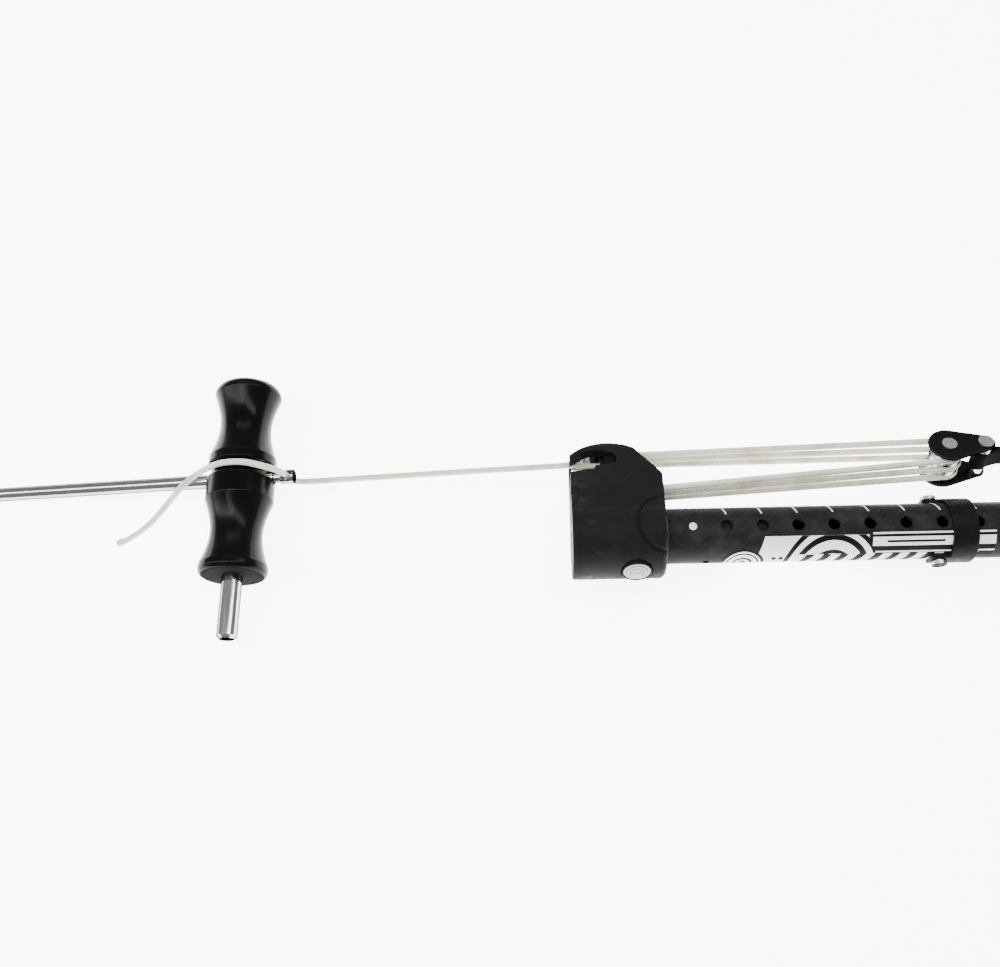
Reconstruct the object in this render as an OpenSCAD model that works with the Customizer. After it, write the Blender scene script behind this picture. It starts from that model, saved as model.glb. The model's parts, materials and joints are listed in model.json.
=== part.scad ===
// Windsurf downhaul rig: winch handle, six-part line, sheave base, mast tube and tack block.
// Millimetres. +X runs along the mast tube, +Y towards the sheave head, +Z up from the table.
// The origin is the mouth of the mast-foot socket, on the tube's axis.

/* [Mast tube] */
// Outer diameter of the mast tube
tube_d = 32; // [30:0.5:34]
// Wall thickness of the mast tube
tube_wall = 2.4; // [1.8:0.2:3]
// Length of the tube outside the base
tube_len = 354; // [330:2:400]
// Distance between height holes
hole_pitch = 20; // [20:1:22]
// Diameter of a height hole
hole_d = 7; // [6.8:0.1:7.6]
// Number of height holes in a row
hole_count = 12; // [10:1:13]
// Which hole the height collar is pinned in, counted from the base
collar_hole = 7; // [5:1:9]

/* [Base] */
// Length of the base along the tube
base_len = 53; // [52:1:60]
// Diameter of the base's round part, which it lies on
base_d = 48; // [46:0.5:52]
// Bore of the mast-foot socket
socket_d = 12.6; // [12.4:0.1:13]
// Depth of the socket's metal liner
liner_len = 28; // [24:1:30]
// Angle of the release button round the base, from the top
button_angle = 74; // [70:1:90]
// How far the release button travels
button_travel = 3; // [2:0.5:3]

/* [Line] */
// Diameter of the downhaul line
line_d = 3.8; // [3:0.1:4]
// Distance between neighbouring sheaves on an axle
layer_pitch = 7; // [6.6:0.1:7.2]
// Radius of the line's centre on a base sheave
base_rope_r = 12.8; // [12.4:0.1:12.9]
// Radius of the line's centre on a tack block sheave
tack_rope_r = 7.8; // [7.5:0.1:8.5]

/* [Tack block] */
// Distance of the tack block's axle from the base sheaves' axle
block_x = 189; // [170:1:200]
// Height of the tack block's axle above the tube's axis
block_y = 43.5; // [42:0.5:45]
// How far the tack block leans over, about the line's direction
block_lean = 18; // [0:1:22]

/* [Winch handle] */
// Distance of the handle's axis from the socket mouth
handle_x = 197.5; // [190:0.5:210]
// Diameter of the handle's rims and belly
handle_d = 40.4; // [38:0.2:42]
// Diameter of the handle's waists
waist_d = 30.8; // [29:0.2:33]
// Diameter of the lever rod
rod_d = 8.4; // [8:0.1:9]
// Length of the lever from the handle's axis to its free end
lever_len = 165; // [155:1:175]
// Diameter of the mast-foot pin in the handle
pin_d = 12; // [11.8:0.1:12]
// How far the pin stands out of the handle
pin_out = 37; // [30:1:40]

/* [Hidden] */
$fn = 64;
eps = 0.5;

tube_r = tube_d / 2;
tube_inner_r = tube_r - tube_wall;
base_r = base_d / 2;
socket_r = socket_d / 2;
line_r = line_d / 2;

// The sheave head: its top is an arc, cut by a slope on the tube's side
head_arc_r = 33;
head_arc_x = 22;
head_arc_y = 22.2;
head_top_half = 11;
head_top = 57;
flank_angle = 13;
head_slope = [[36, 58], [38.2, 50.6], [53, 33.4], [60, 33.4], [60, 58]];
end_fillet_r = 4;
axle_x = 30;
axle_y = 35.7;
axle_r = 3;
axle_half = 15.4;
cavity_half = 1.5 * layer_pitch + 0.1;
cavity_r = base_rope_r + 2.6;

// Layers of the sheaves, along Z: the line's fixed end is above the first one
base_layers = [layer_pitch, 0, -layer_pitch];
dead_layer = 2 * layer_pitch;
sheave_w = layer_pitch - 0.2;
sheave_rim = 1.2;
groove_r = line_r + 0.3;
knot_x = 10;
knot_r = 4;

// The mouth over the cleat, and the vee cleat's cross-section in Y and Z
mouth = [[-2, 34.4], [6, 36.4], [14, 37.2], [15, 39.6], [22, 40.2], [27.2, 41.6], [27.4, 45],
         [25.4, 47.8], [20, 49.6], [11, 49.2], [6.5, 47.6], [3, 45], [-2, 42.5]];
cleat_vee = [[38.6, -10], [53, -10], [53, 9], [50.2, 9], [49, -1.5], [48.6, -8], [45.2, -8],
             [44.2, -2], [41.8, 2.2], [39.8, 2.2], [38.6, -4]];
cleat_from = 1.6;
cleat_to = 19.5;
cleat_rim = 2;
tooth_pitch = 3.4;
tooth_gap = 1.3;
tooth_rake = 28;

// The tack block, in its own frame: +X along the line's run, +Z along its axle
block_cx = axle_x + block_x;
block_mid = 0.5 * layer_pitch;
block_layers = [layer_pitch, 0, -layer_pitch];
block_axle_r = 2.5;
cheek_t = 1.6;
cheek_r = 11.5;
cheek_end_r = 5.5;
head_pin_x = 21;
head_pin_r = 3;
cheek_gap = 1.5 * layer_pitch + 0.3;
strap_w = 13;
strap_t = 1.8;
strap_len = 52;
strap_loop_r = 8;

// The release button and its latch, in the button's own frame: +Z outwards along its travel
button_x = 36;
button_r = 8.6;
stem_r = 3;
latch_t = 3;
latch_half_w = 8;
latch_reach = 10.5;
latch_bite = 1.3;
latch_chamber_len = 4;

collar_x = base_len + 34 + hole_pitch * (collar_hole - 1);
collar_pin_r = 3.25;
first_hole_x = base_len + 34;
mark_x = first_hole_x + hole_pitch * (hole_count - 1) + 6;
rivet_x = base_len + 15;
rivet_r = 2.2;
drain_x = base_len + 23;
spigot_end = base_len + 60;
spigot_start = 44;

// The winch handle: its axis runs along Y and its rims rest on the table
table_z = -base_r;
rim_r = handle_d / 2;
waist_r = waist_d / 2;
handle_z = table_z + rim_r;
handle_bottom = -18;
handle_top = 105;
lower_waist = [-12, 29];
upper_waist = [56, 98.5];
handle_steps = 16;
rope_groove_y = 46.5;
rope_groove_half = 4.5;
rope_groove_depth = 2.4;
rod_y = 43.5;
rod_r = rod_d / 2;
lever_tilt = asin((rim_r - rod_r) / lever_len);
eye_neck = [20.6, 25];
eye_end = 33;
eye_x = 29;
eye_hole_r = 2.7;
foot_pin_r = pin_d / 2;
foot_pin_inside = 52;
foot_shank_r = foot_pin_r - 1;

// Where the line meets its sheaves: angles of the tangents between two sheaves
run_angle = atan2(block_y - axle_y, block_x);
run_len = norm([block_x, block_y - axle_y]);
lead_off = asin((base_rope_r - tack_rope_r) / run_len);
turn_gap = 2.5;

// Route of the line inside the base, from the exit roller through the cleat to the mouth
exit_route = [[29.4, 48.5, -7], [24, 48.4, -6.9], [18, 48, -6], [12, 47.4, -4.2],
              [6, 46.8, -1.8], [2, 46.4, 0.1], [-2, 46, 0.6]];
// Route of the free line: the lead to the handle, its eye, the turn on the drum and the tail
lead_route = [[-2, 46, 0.6], [-13, 45.8, -0.1], [-24, 45.6, -0.7], [-36, 45.4, -1.5],
              [-48, 45.3, -2.2], [-60, 45.1, -2.9], [-72, 44.9, -3.7], [-84, 44.7, -4.4],
              [-96, 44.5, -5.1], [-108, 44.3, -5.9], [-120, 44.1, -6.6]];
lead_end_route = [[-120.3, 44.1, -6.6], [-130, 43.9, -7.2], [-140, 43.8, -7.8],
                  [-148, 43.6, -8.3], [-155.6, 43.5, -8.8]];
turn_route = [[-156, 43.5, -8.8], [-161, 43.5, -9], [-165, 43.5, -7.9], [-167.8, 43.5, -4.8],
              [-168.8, 43.5, -1], [-170, 43.8, 3.2], [-173, 44.4, 6.6], [-178, 45.3, 9.4],
              [-184, 46, 12.4], [-190, 46.5, 15], [-197.5, 46.5, 16], [-204, 46.5, 14.9],
              [-209, 46.5, 12.4]];
tail_route = [[-209, 46.5, 12.4], [-215, 46.3, 8.2], [-221, 45.2, 4.2], [-227, 42.8, 0.9],
              [-233, 39.2, -2.4], [-239, 34.8, -7], [-246, 29.4, -12.4], [-253, 24.2, -17.2],
              [-260, 19.4, -20.6], [-267, 14.9, -22], [-276, 9.8, -22.05]];

function unit(v) = v / norm(v);
function route_heading(route, i) =
    unit(route[min(i + 1, len(route) - 1)] - route[max(i - 1, 0)]);
function ring_side(heading) = unit(cross(heading, [0, 1, 0]));
function ring_point(centre, heading, r, a) =
    centre + r * cos(a) * ring_side(heading) + r * sin(a) * cross(heading, ring_side(heading));

// A plain cord swept along a route, with flat ends
module cord(route, r, sides = 8) {
    last = len(route) - 1;
    points = [for (i = [0:last], k = [0:sides - 1])
        ring_point(route[i], route_heading(route, i), r, 360 * k / sides)];
    sleeve = [for (i = [0:last - 1], k = [0:sides - 1])
        [i * sides + k, i * sides + (k + 1) % sides,
         (i + 1) * sides + (k + 1) % sides, (i + 1) * sides + k]];
    start_cap = [for (k = [sides - 1:-1:0]) k];
    end_cap = [for (k = [0:sides - 1]) last * sides + k];
    polyhedron(points, concat([start_cap], sleeve, [end_cap]), convexity = 6);
}

// A round bar between two points
module bar(from, to, r) {
    run = to - from;
    translate(from)
        rotate([0, acos(run[2] / norm(run)), atan2(run[1], run[0])])
            cylinder(r = r, h = norm(run), $fn = 24);
}

module along_x(x) {
    translate([x, 0, 0]) rotate([0, 90, 0]) children();
}

module cross_hole(x, r, half = tube_r + 1) {
    translate([x, 0, -half]) cylinder(r = r, h = 2 * half);
}

// The frame of the release button: +Z points out of the base along its travel
module button_frame() {
    translate([button_x, 0, 0]) rotate([button_angle, 0, 0]) children();
}

// A sheave in the XY plane, with a round-bottomed groove that is open to its rim
module sheave(rope_r, bore_r, w) {
    rotate_extrude($fn = 72)
        difference() {
            translate([bore_r, -w / 2]) square([rope_r + sheave_rim - bore_r, w]);
            translate([rope_r, 0]) circle(r = groove_r, $fn = 32);
            translate([rope_r, -groove_r]) square([sheave_rim + 1, 2 * groove_r]);
        }
}

// The base without its sheave head: a round body along the tube's axis
module round_body(inset = 0) {
    along_x(0) cylinder(r = base_r - inset, h = base_len);
}

// The sheave head across its whole length, its flanks leaning in from the round body
module head_prism(inset = 0) {
    foot = base_r - 0.8 - inset;
    rotate([0, 90, 0]) linear_extrude(base_len)
        polygon([[-foot * cos(flank_angle), foot * sin(flank_angle)],
                 [-head_top_half - 2 + inset, head_top - 5], [-head_top_half + inset, head_top],
                 [head_top_half - inset, head_top], [head_top_half + 2 - inset, head_top - 5],
                 [foot * cos(flank_angle), foot * sin(flank_angle)]]);
}

module head_outline() {
    difference() {
        union() {
            square([base_len, axle_y]);
            intersection() {
                translate([head_arc_x, head_arc_y]) circle(r = head_arc_r, $fn = 120);
                square([base_len, 60]);
            }
        }
        polygon(head_slope);
    }
}

// What lies inside the head's arc, by a rim of the given thickness
module inside_rim(rim) {
    translate([head_arc_x, head_arc_y]) circle(r = head_arc_r - rim, $fn = 120);
}

// The slot between the cheeks for the line, and its notch in the head's end
module line_slot() {
    translate([0, 0, -cavity_half])
        linear_extrude(cavity_half + 3)
            intersection() {
                inside_rim(cleat_rim + 0.5);
                translate([-2, mouth[0][1]]) square([axle_x, head_top - mouth[0][1]]);
            }
    translate([-2, 43.4, -4.4]) cube([10, 12, 7.2]);
}

// Rounds the base's edge at the tube's end, below the sheave head
module end_fillet() {
    along_x(0)
        rotate([0, 0, 180 - flank_angle])
            rotate_extrude(angle = 180 + 2 * flank_angle, $fn = 120)
                difference() {
                    translate([base_r - end_fillet_r, base_len - end_fillet_r])
                        square(end_fillet_r + 1);
                    translate([base_r - end_fillet_r, base_len - end_fillet_r])
                        circle(r = end_fillet_r + 0.15, $fn = 48);
                }
}

module base_housing() {
    color("#2b2b2d")
    difference() {
        union() {
            round_body();
            intersection() {
                head_prism();
                translate([0, 0, -40]) linear_extrude(80) head_outline();
            }
        }
        end_fillet();
        translate([axle_x, axle_y, -cavity_half]) cylinder(r = cavity_r, h = 2 * cavity_half);
        translate([axle_x, axle_y - cavity_r, -cavity_half])
            cube([base_len, 2 * cavity_r, 2 * cavity_half]);
        line_slot();
        linear_extrude(30) polygon(mouth);
        cleat_blank(cleat_rim - 0.02);
        cleat_screws();
        translate([axle_x, axle_y, -axle_half - 0.1]) cylinder(r = axle_r, h = 2 * axle_half + 0.2);
        bar(dead_start, dead_bend, line_r + 0.3);
        bar(dead_bend, dead_end, line_r + 0.3);
        bar([-1, dead_start[1], dead_layer], dead_start + [knot_r + 0.3, 0, 0], knot_r + 0.3);
        along_x(-1) cylinder(r = socket_r + 2.2, h = spigot_start + 1);
        along_x(spigot_start - eps) cylinder(r = tube_inner_r, h = base_len);
        button_frame() button_pocket();
        cheek_groove();
    }
}

// The pocket for the button, its stem and the latch plate
module button_pocket() {
    translate([0, 0, 17.5]) cylinder(r = button_r + 0.3, h = 20);
    cylinder(r = stem_r + 0.3, h = 20);
    translate([-latch_chamber_len / 2, -latch_half_w - 0.4, -latch_reach - button_travel - 0.6])
        cube([latch_chamber_len, 2 * latch_half_w + 0.8, 2 * latch_reach + button_travel + 1]);
}

// The round groove in the upper face, at the tube's end
module cheek_groove() {
    difference() {
        translate([base_len, 1, 5])
            difference() {
                cylinder(r = 16.9, h = 30);
                translate([0, 0, -1]) cylinder(r = 15.3, h = 32);
            }
        round_body(1.1);
        head_prism(1.1);
    }
}

module socket_liner() {
    color("silver")
    difference() {
        along_x(0) cylinder(r = socket_r + 2.2, h = liner_len);
        along_x(-1) cylinder(r = socket_r, h = liner_len + 2);
    }
}

module latch_plate() {
    color("#b8babd")
    button_frame()
        translate([-latch_t / 2, 0, 0])
            difference() {
                translate([0, -latch_half_w, -latch_reach])
                    cube([latch_t, 2 * latch_half_w, 2 * latch_reach]);
                for (z = [0, button_travel])
                    translate([-1, 0, z + latch_bite - 0.2]) rotate([0, 90, 0])
                        cylinder(r = socket_r + 0.2, h = latch_t + 2);
                translate([-1, -socket_r - 0.2, latch_bite - 0.2])
                    cube([latch_t + 2, 2 * socket_r + 0.4, button_travel]);
            }
}

module release_button() {
    color("#303032")
    button_frame()
        difference() {
            union() {
                translate([0, 0, 21]) cylinder(r = button_r, h = base_r - 21 + 0.4);
                translate([0, 0, latch_reach]) cylinder(r = stem_r, h = 21 - latch_reach + eps);
            }
            translate([0, 0, base_r - 0.6]) cylinder(r = button_r - 1, h = 3);
        }
}

module button_badge() {
    color("#dcdddf")
    button_frame()
        translate([0, 0, base_r - 0.6])
            intersection() {
                cylinder(r = button_r - 1, h = 3);
                translate([0, 0, -20]) sphere(r = 22, $fn = 180);
            }
}

module button_spring() {
    color("silver")
    button_frame()
        translate([0, 0, 17.6])
            difference() {
                cylinder(r = 6, h = 3.3);
                translate([0, 0, -1]) cylinder(r = 4.8, h = 6);
            }
}

module sheave_axle() {
    color("silver")
    translate([axle_x, axle_y, -axle_half]) cylinder(r = axle_r - 0.02, h = 2 * axle_half);
}

module axle_washers() {
    color("silver")
    for (z = [-cavity_half + 0.02, cavity_half - 0.16])
        translate([axle_x, axle_y, z])
            difference() {
                cylinder(r = 5.4, h = 0.14);
                translate([0, 0, -1]) cylinder(r = axle_r + 0.05, h = 2);
            }
}

module base_sheave(layer, rope_r) {
    translate([axle_x, axle_y, base_layers[layer]]) sheave(rope_r, axle_r + 0.04, sheave_w);
}

module base_sheave_1() { color("#5a5d61") base_sheave(0, base_rope_r); }
module base_sheave_2() { color("#5a5d61") base_sheave(1, base_rope_r); }
module exit_roller() { color("#5a5d61") base_sheave(2, base_rope_r); }

// The cleat's body before its teeth are cut, inside the head's rim
module cleat_blank(rim) {
    intersection() {
        translate([cleat_from, 0, 0]) rotate([90, 0, 90])
            linear_extrude(cleat_to - cleat_from) polygon(cleat_vee);
        translate([0, 0, -12]) linear_extrude(24) inside_rim(rim);
    }
}

// A vee cleat, open upwards: raked teeth in two jaws, and a slope off the inner end
module line_cleat() {
    color("#c9cbce")
    difference() {
        cleat_blank(cleat_rim);
        for (i = [0:4])
            translate([4.4 + i * tooth_pitch, 46.6, 3]) rotate([0, 0, tooth_rake])
                cube([tooth_gap, 10.4, 13], center = true);
        translate([cleat_to - 8, 30, 9]) rotate([0, 42, 0]) cube([30, 30, 12]);
        translate([axle_x, axle_y, -12]) cylinder(r = cavity_r, h = 24);
    }
}

module cleat_screws() {
    color("silver")
    for (x = [5, 12])
        translate([x, 41, -15.2]) cylinder(r = 1.2, h = 7, $fn = 24);
}

module tube_spigot() {
    color("#a9abad")
    difference() {
        along_x(spigot_start) cylinder(r = tube_inner_r - 0.02, h = spigot_end - spigot_start);
        cross_hole(rivet_x, rivet_r);
    }
}

module mast_tube() {
    color("#26272a")
    difference() {
        along_x(base_len) cylinder(r = tube_r, h = tube_len, $fn = 120);
        along_x(base_len - 1) cylinder(r = tube_inner_r, h = tube_len + 2, $fn = 120);
        for (i = [0:hole_count - 1]) cross_hole(first_hole_x + i * hole_pitch, hole_d / 2);
        rotate([90, 0, 0]) cross_hole(collar_x, hole_d / 2);
        cross_hole(rivet_x, rivet_r);
        rotate([90, 0, 0]) translate([drain_x, 0, 0]) cylinder(r = 2, h = tube_r + 1);
        along_x(mark_x)
            difference() {
                cylinder(r = tube_r + 1, h = 2, $fn = 120);
                translate([0, 0, -1]) cylinder(r = tube_r - 0.3, h = 4, $fn = 120);
            }
    }
}

module spigot_rivets() {
    color("white")
    for (side = [0, 180])
        rotate([side, 0, 0]) translate([rivet_x, 0, 4]) cylinder(r = rivet_r, h = tube_r - 3.8);
}

// The thin light ring where the tube meets the base
module tube_ring() {
    color("#8f9194")
    difference() {
        along_x(base_len) cylinder(r = tube_r + 0.5, h = 0.8, $fn = 120);
        along_x(base_len - 1) cylinder(r = tube_r + 0.02, h = 3, $fn = 120);
    }
}

module tube_end_plug() {
    color("#202022")
    difference() {
        union() {
            along_x(base_len + tube_len) cylinder(r = tube_r - 0.2, h = 3);
            along_x(base_len + tube_len - 16) cylinder(r = tube_inner_r - 0.02, h = 17);
        }
        along_x(base_len + tube_len - 17) cylinder(r = tube_inner_r - 2.4, h = 17);
    }
}

// A split collar behind the holes, with two ears that carry its pins
module height_collar() {
    collar_w = 14;
    collar_t = 2.4;
    ear_w = 11;
    color("#222224")
    difference() {
        union() {
            along_x(collar_x + 5) cylinder(r = tube_r + collar_t, h = collar_w, $fn = 120);
            intersection() {
                along_x(collar_x - 5.5) cylinder(r = tube_r + collar_t, h = 12, $fn = 120);
                translate([collar_x - 6, -40, -ear_w / 2]) cube([14, 80, ear_w]);
            }
        }
        along_x(collar_x - 10) cylinder(r = tube_r + 0.05, h = 40, $fn = 120);
        rotate([90, 0, 0]) cross_hole(collar_x, collar_pin_r + 0.05, 30);
        translate([collar_x, -3, -40]) cube([40, 6, 40]);
    }
}

module collar_pin() {
    translate([collar_x, tube_inner_r - 1.2, 0]) rotate([-90, 0, 0]) {
        cylinder(r = collar_pin_r, h = tube_wall + 4.5);
        translate([0, 0, tube_wall + 3.9]) cylinder(r = 4.2, h = 1.9);
    }
}

module collar_pin_front() { color("#9b9da0") mirror([0, 1, 0]) collar_pin(); }
module collar_pin_back() { color("#9b9da0") collar_pin(); }

// A plate with two round ends, joined by its common tangents
module link_plate(big_r, small_r, length, t) {
    tilt = asin((big_r - small_r) / length);
    linear_extrude(t) {
        circle(r = big_r, $fn = 72);
        translate([length, 0]) circle(r = small_r, $fn = 48);
        polygon([[big_r * sin(tilt), big_r * cos(tilt)],
                 [length + small_r * sin(tilt), small_r * cos(tilt)],
                 [length + small_r * sin(tilt), -small_r * cos(tilt)],
                 [big_r * sin(tilt), -big_r * cos(tilt)]]);
    }
}

// The tack block's own frame
module on_block() {
    translate([block_cx, block_y, block_mid]) rotate([-block_lean, 0, run_angle]) children();
}

module block_cheeks() {
    color("#1f2022")
    on_block()
        for (z = [-cheek_gap - cheek_t, cheek_gap])
            translate([0, 0, z])
                difference() {
                    link_plate(cheek_r, cheek_end_r, head_pin_x, cheek_t);
                    translate([0, 0, -1]) cylinder(r = block_axle_r, h = 5);
                    translate([head_pin_x, 0, -1]) cylinder(r = head_pin_r, h = 5);
                }
}

module headed_pin(x, r, head_r) {
    half = cheek_gap + cheek_t;
    on_block() {
        translate([x, 0, -half]) cylinder(r = r - 0.02, h = 2 * half);
        for (z = [-half - 1, half])
            translate([x, 0, z]) cylinder(r = head_r, h = 1);
    }
}

module block_axle() { color("silver") headed_pin(0, block_axle_r, 4.2); }
module block_head_pin() { color("silver") headed_pin(head_pin_x, head_pin_r, 4.4); }

module block_spacers() {
    spacer_w = cheek_gap - strap_w / 2 - 0.3;
    color("#8f9194")
    on_block()
        for (z = [-cheek_gap + 0.02, cheek_gap - 0.02 - spacer_w])
            translate([head_pin_x, 0, z])
                difference() {
                    cylinder(r = 4.6, h = spacer_w);
                    translate([0, 0, -1]) cylinder(r = head_pin_r, h = spacer_w + 2);
                }
}

module tack_sheave(layer) {
    on_block() translate([0, 0, block_layers[layer]])
        sheave(tack_rope_r, block_axle_r + 0.04, sheave_w);
}

module tack_sheave_1() { color("#c4c6c9") tack_sheave(0); }
module tack_sheave_2() { color("#c4c6c9") tack_sheave(1); }
module tack_sheave_3() { color("#c4c6c9") tack_sheave(2); }

// Webbing round the head pin, sewn flat and turned back into an end loop
module tack_strap() {
    inner = head_pin_r + 0.1;
    color("#18181a")
    on_block() translate([head_pin_x, 0, -strap_w / 2])
        linear_extrude(strap_w)
            difference() {
                union() {
                    circle(r = inner + strap_t, $fn = 48);
                    translate([0, -strap_t]) square([strap_len, 2 * strap_t]);
                    translate([strap_len, 0]) circle(r = strap_loop_r, $fn = 64);
                }
                circle(r = inner, $fn = 48);
                translate([strap_len, 0]) circle(r = strap_loop_r - strap_t, $fn = 64);
            }
}

// Radius of the handle at height y in a waist: a half sine between its two rims
function waist(y, span) =
    rim_r - (rim_r - waist_r) * sin(180 * (y - span[0]) / (span[1] - span[0]));
function waist_points(span) =
    [for (i = [0:handle_steps])
        let (y = span[0] + (span[1] - span[0]) * i / handle_steps) [waist(y, span), y]];

module handle_outline() {
    foot_r = 3.5;
    top_r = 6;
    polygon(concat(
        [[0, handle_bottom]],
        [for (a = [-90:15:0]) [rim_r - foot_r + foot_r * cos(a), handle_bottom + foot_r + foot_r * sin(a)]],
        waist_points(lower_waist),
        waist_points(upper_waist),
        [for (a = [0:10:90]) [rim_r - top_r + top_r * cos(a), handle_top - top_r + top_r * sin(a)]],
        [[0, handle_top]]));
}

// Turns a part drawn along +Z so that it lies along +Y on the handle's axis
module on_handle() {
    translate([-handle_x, 0, handle_z]) rotate([-90, 0, 0]) children();
}

// The frame of the lever rod: +X along the rod towards the eye
module on_rod() {
    translate([-handle_x, rod_y, handle_z]) rotate([0, -lever_tilt, 0]) children();
}

module handle_drum() {
    color("#161618")
    difference() {
        on_handle() rotate_extrude($fn = 120) handle_outline();
        on_handle()
            rotate_extrude($fn = 120)
                polygon([[rim_r - rope_groove_depth, rope_groove_y - rope_groove_half + 1.4],
                         [rim_r + 1, rope_groove_y - rope_groove_half - 0.6],
                         [rim_r + 1, rope_groove_y + rope_groove_half + 0.6],
                         [rim_r - rope_groove_depth, rope_groove_y + rope_groove_half - 1.4]]);
        on_rod() rotate([0, 90, 0]) translate([0, 0, -40]) cylinder(r = rod_r + 0.04, h = 80);
        on_handle() translate([0, 0, handle_bottom - 1])
            cylinder(r = foot_shank_r + 0.02, h = foot_pin_inside + 1.1);
    }
}

module lever_rod() {
    color("#d0d2d4")
    on_rod()
        difference() {
            rotate([0, 90, 0]) {
                translate([0, 0, -lever_len + 2]) cylinder(r = rod_r, h = lever_len - 2 + eye_neck[0]);
                translate([0, 0, -lever_len]) cylinder(r1 = rod_r - 2, r2 = rod_r, h = 2);
                translate([0, 0, eye_neck[0] - eps]) cylinder(r = rod_r - 1, h = 6);
                translate([0, 0, eye_neck[1]]) cylinder(r = rod_r, h = eye_end - eye_neck[1]);
            }
            translate([eye_x, 0, -10]) cylinder(r = eye_hole_r, h = 20);
            for (side = [0, 180])
                rotate([side, 0, 0]) translate([eye_x, 0, rod_r - 1.6])
                    cylinder(r1 = eye_hole_r, r2 = eye_hole_r + 1, h = 1.7);
        }
}

module foot_pin() {
    chamfer = 1.6;
    color("#cfd1d3")
    on_handle() {
        translate([0, 0, handle_bottom - pin_out + chamfer])
            cylinder(r = foot_pin_r, h = pin_out - chamfer);
        translate([0, 0, handle_bottom - 1]) cylinder(r = foot_shank_r, h = foot_pin_inside + 1);
        translate([0, 0, handle_bottom - pin_out])
            cylinder(r1 = foot_pin_r - chamfer, r2 = foot_pin_r, h = chamfer);
    }
}

// Centre of the line on a base sheave, at an angle round it
function on_base(a, z) = [axle_x + base_rope_r * cos(a), axle_y + base_rope_r * sin(a), z];

// A place in the tack block's frame, as the table sees it
function from_block(p) =
    let (y = p[1] * cos(block_lean) + p[2] * sin(block_lean),
         z = p[2] * cos(block_lean) - p[1] * sin(block_lean))
    [block_cx + p[0] * cos(run_angle) - y * sin(run_angle),
     block_y + p[0] * sin(run_angle) + y * cos(run_angle), block_mid + z];
function on_tack(a, z) = from_block([tack_rope_r * cos(a), tack_rope_r * sin(a), z]);

upper_a = 90 - lead_off;
lower_a = lead_off - 90;
dead_start = [knot_x, axle_y - base_rope_r - 0.6, dead_layer];
dead_bend = [axle_x, dead_start[1] + 0.5, dead_layer];
dead_end = on_tack(lower_a, block_layers[0]);

module upper_strands() {
    color("#ddd9c6")
    for (i = [0:2])
        bar(on_base(run_angle + upper_a, base_layers[i]), on_tack(upper_a, block_layers[i]), line_r);
}

module lower_strands() {
    color("#ddd9c6") {
        bar(dead_bend, dead_end, line_r);
        for (i = [0, 1])
            bar(on_base(run_angle + lower_a, base_layers[i]),
                on_tack(lower_a, block_layers[i + 1]), line_r);
    }
}

// Part of a turn of line round an axle, between two angles
module line_arc(r, from, to, z) {
    translate([0, 0, z]) rotate([0, 0, from])
        rotate_extrude(angle = to - from, $fn = 72) translate([r, 0]) circle(r = line_r, $fn = 24);
}

module base_turns() {
    color("#ddd9c6")
    translate([axle_x, axle_y, 0])
        for (i = [0, 1])
            line_arc(base_rope_r, run_angle + upper_a + turn_gap,
                     run_angle + lower_a + 360 - turn_gap, base_layers[i]);
}

module block_turns() {
    color("#ddd9c6")
    on_block()
        for (z = block_layers)
            line_arc(tack_rope_r, lower_a + turn_gap, upper_a - turn_gap, z);
}

module stopper_knot() {
    color("#ddd9c6") {
        translate([knot_x, dead_start[1], dead_layer]) rotate([0, 0, 180])
            sphere(r = knot_r, $fn = 32);
        bar(dead_start, dead_bend, line_r);
    }
}

module exit_line() { color("#ddd9c6") cord(exit_route, line_r); }
module lead_line() { color("#ddd9c6") cord(lead_route, line_r); }
module lead_end() { color("#ddd9c6") cord(lead_end_route, line_r); }
module drum_turn() { color("#ddd9c6") cord(turn_route, line_r); }
module line_tail() { color("#ddd9c6") cord(tail_route, line_r); }

base_housing();
socket_liner();
latch_plate();
release_button();
button_badge();
button_spring();
sheave_axle();
axle_washers();
base_sheave_1();
base_sheave_2();
exit_roller();
line_cleat();
cleat_screws();
tube_spigot();
mast_tube();
spigot_rivets();
tube_ring();
tube_end_plug();
height_collar();
collar_pin_front();
collar_pin_back();
block_cheeks();
block_axle();
block_head_pin();
block_spacers();
tack_sheave_1();
tack_sheave_2();
tack_sheave_3();
tack_strap();
handle_drum();
lever_rod();
foot_pin();
upper_strands();
lower_strands();
base_turns();
block_turns();
stopper_knot();
exit_line();
lead_line();
lead_end();
drum_turn();
line_tail();
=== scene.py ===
"""Looks of the windsurf downhaul winch rig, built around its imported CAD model. Metres, +Z up."""

import json
import math

import bmesh
import bpy
import numpy as np
from mathutils import Matrix, Vector

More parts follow.
